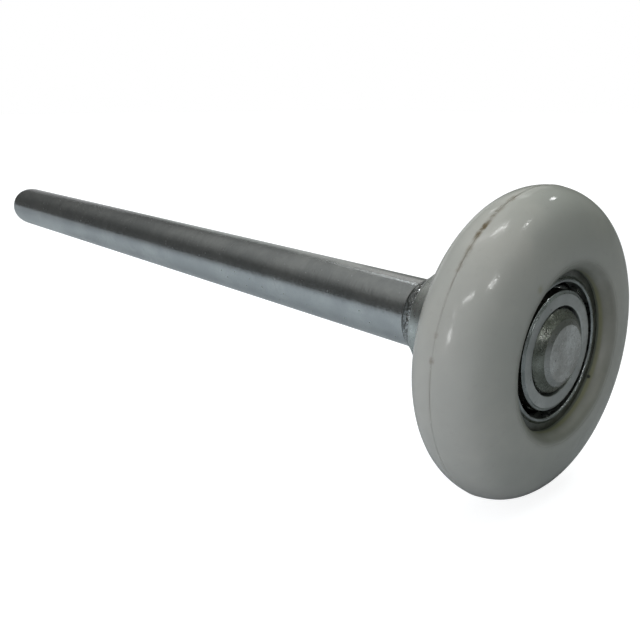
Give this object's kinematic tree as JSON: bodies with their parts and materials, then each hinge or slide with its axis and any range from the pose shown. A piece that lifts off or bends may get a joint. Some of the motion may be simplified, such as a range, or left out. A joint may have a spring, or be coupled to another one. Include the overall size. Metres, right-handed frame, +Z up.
{
  "type": "sliding door roller",
  "caption": "Nylon door-track roller: a rounded tyre on an open ball bearing, peened onto the end of a long plated steel stem.",
  "frame": {"origin": "centre of the wheel, on the stem's axis, midway across the tyre", "axes": "+Y along the stem's axis, from the wheel towards the stem's plain tip; the peened end and the open face of the bearing look towards -Y; +Z up; the wheel spins about Y"},
  "size_m": [0.0444, 0.189, 0.0444],
  "materials": {
    "zinc_plated_steel": "bright zinc plate, faint lengthwise drawing lines",
    "race_steel": "dull pressed steel with a film of grease",
    "ball_steel": "polished",
    "nylon": "glossy moulded nylon"
  },
  "bodies": {
    "stem_and_inner_races": {"stem": "zinc_plated_steel", "rear_inner_race": "zinc_plated_steel", "front_inner_race": "zinc_plated_steel"},
    "wheel": {"nylon_tyre": "nylon", "outer_race": "race_steel"},
    "ball_set": {"ball_01": "ball_steel", "ball_02": "ball_steel", "ball_03": "ball_steel", "ball_04": "ball_steel", "ball_05": "ball_steel", "ball_06": "ball_steel", "ball_07": "ball_steel", "ball_08": "ball_steel", "ball_09": "ball_steel", "ball_10": "ball_steel"}
  },
  "joints": [
    {"name": "wheel_spin", "type": "hinge", "parent": "stem_and_inner_races", "child": "wheel", "pos_m": [0, 0, 0], "axis": [0, 1, 0], "continuous": true},
    {"name": "ball_orbit", "type": "hinge", "parent": "stem_and_inner_races", "child": "ball_set", "pos_m": [0, 0, 0], "axis": [0, 1, 0], "continuous": true}
  ],
  "couplings": [
    {"joint": "ball_orbit", "follows": "wheel_spin", "ratio": 0.6425}
  ]
}
